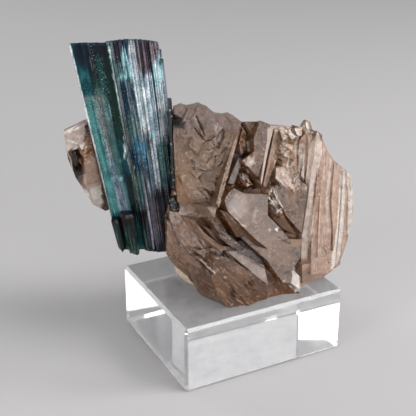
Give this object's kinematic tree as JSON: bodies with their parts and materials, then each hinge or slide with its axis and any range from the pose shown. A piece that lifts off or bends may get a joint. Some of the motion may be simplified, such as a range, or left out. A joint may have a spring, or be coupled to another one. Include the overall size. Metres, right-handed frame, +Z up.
{
  "type": "tourmaline on smoky quartz specimen",
  "caption": "Leaning ribbed blue-green indicolite tourmaline crystal grown against a stepped mass of smoky quartz, fixed on a clear rectangular display block",
  "frame": {"origin": "middle of the display block's underside", "axes": "+X along the block's long side, to the right as the specimen is seen; +Y away from the seen side; +Z up"},
  "size_m": [0.0977, 0.0576, 0.1178],
  "materials": {
    "clear_acrylic": "clear cast acrylic with polished faces and bevels",
    "cream_putty": "matte cream setting putty",
    "smoky_quartz": "translucent grey-brown quartz, glassy on its breaks and sugary where it is etched",
    "indicolite": "glassy blue-green tourmaline, nearly black where it is deep, finely grooved along its length"
  },
  "bodies": {
    "root": {"acrylic_block": "clear_acrylic", "setting_putty": "cream_putty", "smoky_quartz": "smoky_quartz", "tourmaline_crystal": "indicolite", "tourmaline_needle": "indicolite", "tourmaline_chip": "indicolite"}
  },
  "joints": []
}
